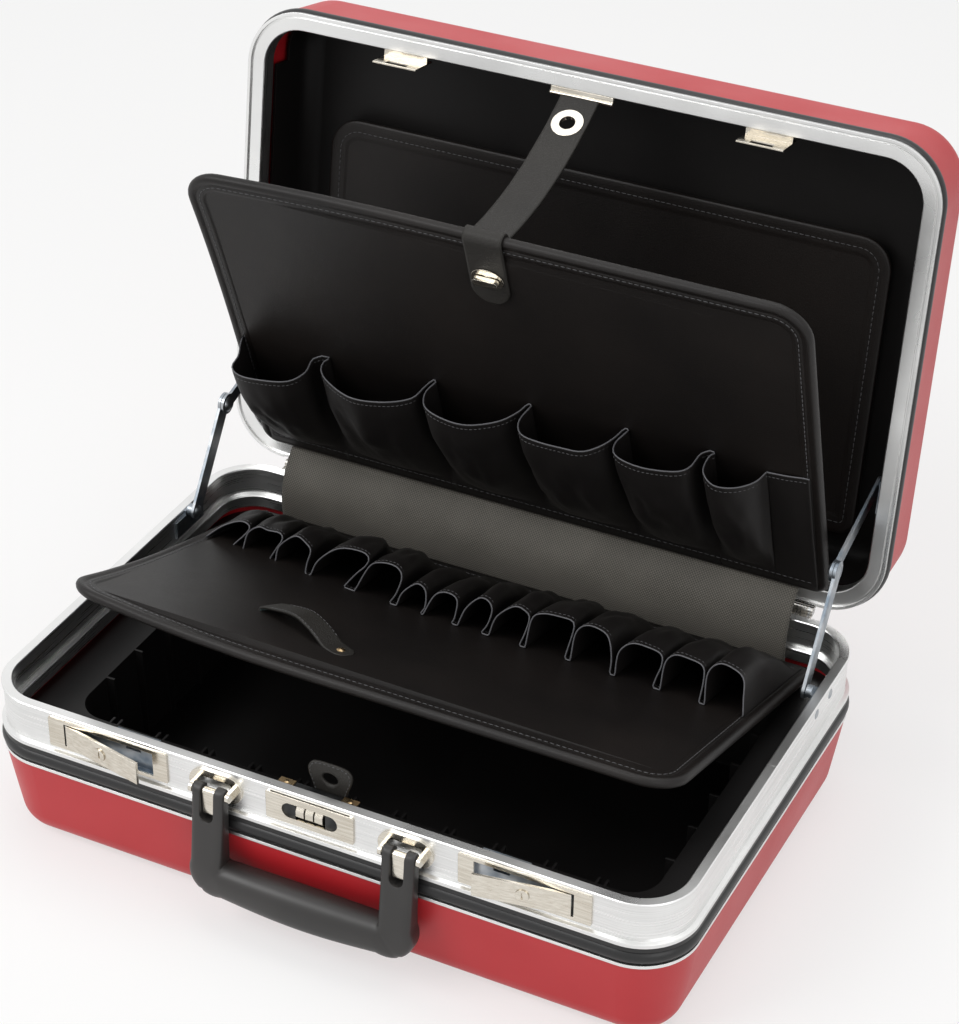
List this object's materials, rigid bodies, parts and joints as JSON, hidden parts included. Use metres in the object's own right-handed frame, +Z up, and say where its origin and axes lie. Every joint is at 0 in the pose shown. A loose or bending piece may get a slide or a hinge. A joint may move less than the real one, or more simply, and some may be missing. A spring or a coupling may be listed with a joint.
{
  "type": "hard tool case",
  "caption": "Hinged hard tool case with metal-framed shells, lid stays, latches, a combination lock, tool pocket boards, a document pocket and a folding carrying handle.",
  "frame": {"origin": "centre of the base's underside, on the surface that the case stands on", "axes": "+Z up, +X along the case's width to the right seen from the front, handle and locks at -Y, hinge at +Y"},
  "size_m": [0.485, 0.4548, 0.4309],
  "materials": {
    "red_shell": "fine grained ABS",
    "frame_metal": "satin brushed",
    "edge_rubber": "smooth black",
    "tray_plastic": "black, fine grain",
    "nickel": "bright nickel",
    "zinc": "blue passivated zinc",
    "black_plastic": "soft black",
    "steel": "zinc plated",
    "leatherette": "black, fine grained",
    "leather": "black grained",
    "woven_fabric": "grey woven",
    "lining": "black lining",
    "brass": "bright"
  },
  "bodies": {
    "base": {"base_shell": "red_shell", "base_frame_front": "frame_metal", "base_frame_back": "frame_metal", "base_edge_strip": "edge_rubber", "base_insert_tray": "tray_plastic", "hinge_base_leaf": "frame_metal", "hinge_pin": "steel", "left_lock_plate": "nickel", "right_lock_plate": "nickel", "left_lock_housing": "zinc", "right_lock_housing": "zinc", "lock_pins": "steel", "combination_plate": "nickel", "combination_housing": "tray_plastic", "screw_plates": "brass", "front_tab": "leather", "handle_plates": "nickel", "handle_pins": "nickel", "base_stay_brackets": "steel", "fabric_spine": "woven_fabric"},
    "lid": {"lid_shell": "red_shell", "lid_frame": "frame_metal", "lid_edge_strip": "edge_rubber", "hinge_lid_leaf": "frame_metal", "lid_lining": "lining", "lid_catches": "steel", "lid_stay_brackets": "steel", "strap_bracket": "nickel", "strap": "leather", "strap_eyelet": "nickel", "panel_gusset": "woven_fabric"},
    "document_panel": {"document_panel": "leatherette"},
    "upper_board": {"upper_board": "leatherette", "upper_board_pockets": "leatherette", "upper_board_rivets": "steel", "turn_lock_base": "nickel"},
    "turn_lock_knob": {"turn_lock_knob": "nickel"},
    "lower_board": {"lower_board": "leatherette", "lower_board_pockets": "leatherette", "finger_strap": "leather", "finger_strap_rivet": "brass"},
    "carry_handle": {"carry_handle": "black_plastic", "handle_clips": "nickel"},
    "left_lower_stay": {"left_stay_lower_arm": "steel", "left_knee_rivet": "steel"},
    "left_upper_stay": {"left_stay_upper_arm": "steel", "left_stay_end_rivet": "steel"},
    "left_latch_lever": {"left_latch_lever": "nickel"},
    "left_key_cylinder": {"left_key_cylinder": "nickel"},
    "left_lock_bolt": {"left_lock_bolt": "steel"},
    "right_lower_stay": {"right_stay_lower_arm": "steel", "right_knee_rivet": "steel"},
    "right_upper_stay": {"right_stay_upper_arm": "steel", "right_stay_end_rivet": "steel"},
    "right_latch_lever": {"right_latch_lever": "nickel"},
    "right_key_cylinder": {"right_key_cylinder": "nickel"},
    "right_lock_bolt": {"right_lock_bolt": "steel"},
    "dial_1": {"dial_1": "nickel"},
    "dial_2": {"dial_2": "nickel"},
    "dial_3": {"dial_3": "nickel"}
  },
  "joints": [
    {"name": "lid_hinge", "type": "hinge", "parent": "base", "child": "lid", "pos_m": [0, 0.1631, 0.1118], "axis": [1, 0, 0], "range_deg": [0, 98.6], "deforming": ["fabric_spine"]},
    {"name": "upper_board_hinge", "type": "hinge", "parent": "lid", "child": "upper_board", "pos_m": [0, 0.15784, 0.13252], "axis": [1, 0, 0], "range_deg": [-35.31, 0.01], "deforming": ["strap"]},
    {"name": "lower_board_hinge", "type": "hinge", "parent": "base", "child": "lower_board", "pos_m": [0, 0.1414, 0.0804], "axis": [1, 0, 0], "range_deg": [-0.01, 17.01]},
    {"name": "left_stay_foot_pivot", "type": "hinge", "parent": "base", "child": "left_lower_stay", "pos_m": [-0.222, 0.0826, 0.1105], "axis": [1, 0, 0], "range_deg": [-0.01, 135.71]},
    {"name": "left_stay_knee_pivot", "type": "hinge", "parent": "left_lower_stay", "child": "left_upper_stay", "pos_m": [-0.222, 0.1256, 0.17401], "axis": [1, 0, 0], "range_deg": [-118.23, 0.01]},
    {"name": "right_stay_foot_pivot", "type": "hinge", "parent": "base", "child": "right_lower_stay", "pos_m": [0.222, 0.0826, 0.1105], "axis": [1, 0, 0], "range_deg": [-0.01, 135.71]},
    {"name": "right_stay_knee_pivot", "type": "hinge", "parent": "right_lower_stay", "child": "right_upper_stay", "pos_m": [0.222, 0.1256, 0.17401], "axis": [1, 0, 0], "range_deg": [-118.23, 0.01]},
    {"name": "document_panel_hinge", "type": "hinge", "parent": "lid", "child": "document_panel", "pos_m": [0, 0.21957, 0.13876], "axis": [1, 0, 0], "range_deg": [0, 6], "deforming": ["panel_gusset"]},
    {"name": "turn_lock_spindle", "type": "hinge", "parent": "upper_board", "child": "turn_lock_knob", "pos_m": [0, 0.0841, 0.35038], "axis": [0, -0.9472, -0.3206], "range_deg": [0, 90]},
    {"name": "handle_pivot", "type": "hinge", "parent": "base", "child": "carry_handle", "pos_m": [0, -0.1615, 0.0975], "axis": [1, 0, 0], "range_deg": [-105, 0]},
    {"name": "left_latch_pivot", "type": "hinge", "parent": "base", "child": "left_latch_lever", "pos_m": [-0.17101, -0.153, 0.0975], "axis": [0, 0, 1], "range_deg": [-14.5, 11.5]},
    {"name": "left_key_turn", "type": "hinge", "parent": "left_latch_lever", "child": "left_key_cylinder", "pos_m": [-0.14377, -0.15956, 0.0975], "axis": [0.1994, 0.9799, 0], "range_deg": [0, 90]},
    {"name": "left_bolt_slide", "type": "slide", "parent": "base", "child": "left_lock_bolt", "axis": [0, 1, 0], "range_m": [-0.00364, 0.00288]},
    {"name": "right_latch_pivot", "type": "hinge", "parent": "base", "child": "right_latch_lever", "pos_m": [0.17101, -0.153, 0.0975], "axis": [0, 0, 1], "range_deg": [-9.5, 16.5]},
    {"name": "right_key_turn", "type": "hinge", "parent": "right_latch_lever", "child": "right_key_cylinder", "pos_m": [0.14356, -0.15861, 0.0975], "axis": [-0.165, 0.9863, 0], "range_deg": [0, 90]},
    {"name": "right_bolt_slide", "type": "slide", "parent": "base", "child": "right_lock_bolt", "axis": [0, 1, 0], "range_m": [-0.00413, 0.00238]},
    {"name": "dial_1_turn", "type": "hinge", "parent": "base", "child": "dial_1", "pos_m": [-0.0064, -0.1489, 0.0975], "axis": [1, 0, 0], "continuous": true},
    {"name": "dial_2_turn", "type": "hinge", "parent": "base", "child": "dial_2", "pos_m": [0, -0.1489, 0.0975], "axis": [1, 0, 0], "continuous": true},
    {"name": "dial_3_turn", "type": "hinge", "parent": "base", "child": "dial_3", "pos_m": [0.0064, -0.1489, 0.0975], "axis": [1, 0, 0], "continuous": true}
  ],
  "couplings": [
    {"joint": "upper_board_hinge", "follows": "lid_hinge", "ratio": -0.35801},
    {"joint": "lower_board_hinge", "follows": "lid_hinge", "ratio": 0.17241},
    {"joint": "left_stay_foot_pivot", "follows": "lid_hinge", "ratio": 1.3762},
    {"joint": "left_stay_knee_pivot", "follows": "lid_hinge", "ratio": -1.199},
    {"joint": "right_stay_foot_pivot", "follows": "lid_hinge", "ratio": 1.3762},
    {"joint": "right_stay_knee_pivot", "follows": "lid_hinge", "ratio": -1.199},
    {"joint": "left_bolt_slide", "follows": "left_latch_pivot", "m_per_rad": 0.014324},
    {"joint": "right_bolt_slide", "follows": "right_latch_pivot", "m_per_rad": -0.014324}
  ]
}
